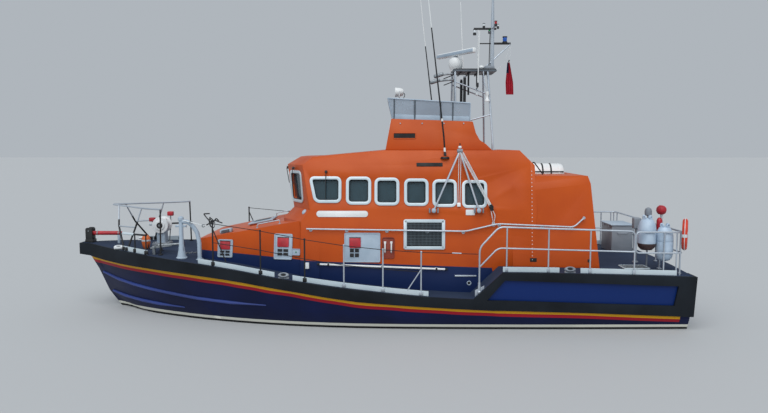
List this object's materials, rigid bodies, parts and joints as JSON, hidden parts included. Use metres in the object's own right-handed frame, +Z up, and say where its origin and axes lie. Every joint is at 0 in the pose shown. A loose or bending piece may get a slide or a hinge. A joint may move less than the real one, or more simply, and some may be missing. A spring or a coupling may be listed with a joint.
{
  "type": "all-weather lifeboat",
  "caption": "All-weather rescue lifeboat afloat, with enclosed wheelhouse, open upper steering position, radar mast, fendered hull, screws and rudders.",
  "frame": {"origin": "on the centreline amidships at the waterline", "axes": "+X to the bow, +Y to port, +Z up"},
  "size_m": [14.26, 4.9198, 9.5008],
  "materials": {
    "hull_paint": "gloss navy paint with a yellow and a red stripe",
    "deck_paint": "matt non-slip deck paint",
    "fender_rubber": "matt black rubber",
    "orange_paint": "gloss orange paint, navy below",
    "white_plastic": "white moulding",
    "white_paint": "white paint",
    "grey_paint": "grey paint",
    "black_plastic": "matt black",
    "seat_cover": "dark woven seat cover",
    "window_glass": "clear tinted glass",
    "engine_iron": "painted iron block",
    "rail_alloy": "dull bare alloy",
    "galvanised_steel": "dull galvanised or bright shaft steel",
    "orange_plastic": "orange plastic",
    "white_vinyl": "white vinyl fender",
    "red_bunting": "plain red woven bunting",
    "bronze": "bare propeller bronze",
    "antifouling": "matt red-brown bottom paint"
  },
  "bodies": {
    "boat": {"hull": "hull_paint", "deck": "deck_paint", "port_fender": "fender_rubber", "starboard_fender": "fender_rubber", "wheelhouse": "orange_paint", "aft_casing": "orange_paint", "wheelhouse_sole": "grey_paint", "helm_console": "black_plastic", "port_front_seat": "seat_cover", "starboard_front_seat": "seat_cover", "port_rear_seat": "seat_cover", "starboard_rear_seat": "seat_cover", "port_glazing": "window_glass", "starboard_glazing": "window_glass", "windscreen": "window_glass", "port_engine": "engine_iron", "starboard_engine": "engine_iron", "bridge_coaming": "orange_paint", "bridge_console": "grey_paint", "bridge_windshield": "white_plastic", "searchlight": "white_plastic", "radar_mast": "rail_alloy", "port_grab_rail": "rail_alloy", "starboard_grab_rail": "rail_alloy", "liferaft_canister": "white_plastic", "port_side_rail": "rail_alloy", "starboard_side_rail": "rail_alloy", "port_aft_rail": "rail_alloy", "starboard_aft_rail": "rail_alloy", "stern_rail": "rail_alloy", "bow_rail": "rail_alloy", "bow_roller": "black_plastic", "windlass": "white_plastic", "anchor": "galvanised_steel", "mooring_post": "white_paint", "anchor_buoy": "orange_plastic", "stern_locker": "grey_paint", "side_pole": "white_paint", "ensign": "red_bunting", "forward_hanging_fender": "white_vinyl", "after_hanging_fender": "white_vinyl", "lifebuoy": "orange_plastic", "port_shaft_line": "galvanised_steel", "starboard_shaft_line": "galvanised_steel", "skeg": "antifouling", "port_bilge_keel": "antifouling", "starboard_bilge_keel": "antifouling"},
    "aft_door": {"aft_door": "orange_paint"},
    "foredeck_hatch": {"foredeck_hatch": "white_plastic"},
    "helm_wheel": {"helm_wheel": "black_plastic"},
    "radar_scanner": {"radar_scanner": "white_plastic"},
    "port_aerial": {"port_aerial": "black_plastic"},
    "starboard_aerial": {"starboard_aerial": "black_plastic"},
    "port_recovery_frame": {"port_recovery_frame": "rail_alloy"},
    "starboard_recovery_frame": {"starboard_recovery_frame": "rail_alloy"},
    "port_propeller": {"port_propeller": "bronze"},
    "starboard_propeller": {"starboard_propeller": "bronze"},
    "port_rudder": {"port_rudder": "antifouling"},
    "starboard_rudder": {"starboard_rudder": "antifouling"}
  },
  "joints": [
    {"name": "aft_door_swing", "type": "hinge", "parent": "boat", "child": "aft_door", "pos_m": [-5.19, -0.525, 2.25], "axis": [0.0946, 0, 0.9955], "range_deg": [0, 105]},
    {"name": "foredeck_hatch_lift", "type": "hinge", "parent": "boat", "child": "foredeck_hatch", "pos_m": [2.29, 0, 2.219], "axis": [0, -1, 0], "range_deg": [0, 95]},
    {"name": "helm_wheel_turn", "type": "hinge", "parent": "boat", "child": "helm_wheel", "pos_m": [0.645, -0.62, 2.28], "axis": [1, 0, 0], "range_deg": [-540, 540]},
    {"name": "radar_turn", "type": "hinge", "parent": "boat", "child": "radar_scanner", "pos_m": [-2.15, 0, 6.15], "axis": [0, 0, 1], "continuous": true},
    {"name": "port_aerial_fold", "type": "hinge", "parent": "boat", "child": "port_aerial", "pos_m": [-1.8, 1.44, 3.8], "axis": [0, -1, 0], "range_deg": [0, 80]},
    {"name": "starboard_aerial_fold", "type": "hinge", "parent": "boat", "child": "starboard_aerial", "pos_m": [-1.8, -1.44, 3.8], "axis": [0, -1, 0], "range_deg": [0, 80]},
    {"name": "port_recovery_frame_swing", "type": "hinge", "parent": "boat", "child": "port_recovery_frame", "pos_m": [-2.04, 1.72, 2.56], "axis": [-1, 0, 0], "range_deg": [0, 100]},
    {"name": "starboard_recovery_frame_swing", "type": "hinge", "parent": "boat", "child": "starboard_recovery_frame", "pos_m": [-2.04, -1.72, 2.56], "axis": [1, 0, 0], "range_deg": [0, 100]},
    {"name": "port_propeller_turn", "type": "hinge", "parent": "boat", "child": "port_propeller", "pos_m": [-5.75, 1.05, -0.8], "axis": [0.996, 0, 0.0896], "continuous": true},
    {"name": "starboard_propeller_turn", "type": "hinge", "parent": "boat", "child": "starboard_propeller", "pos_m": [-5.75, -1.05, -0.8], "axis": [0.996, 0, 0.0896], "continuous": true},
    {"name": "port_rudder_turn", "type": "hinge", "parent": "boat", "child": "port_rudder", "pos_m": [-6.43, 1.05, -0.7], "axis": [0, 0, 1], "range_deg": [-35, 35]},
    {"name": "starboard_rudder_turn", "type": "hinge", "parent": "boat", "child": "starboard_rudder", "pos_m": [-6.43, -1.05, -0.7], "axis": [0, 0, 1], "range_deg": [-35, 35]}
  ],
  "couplings": [
    {"joint": "starboard_rudder_turn", "follows": "port_rudder_turn", "ratio": 1}
  ]
}
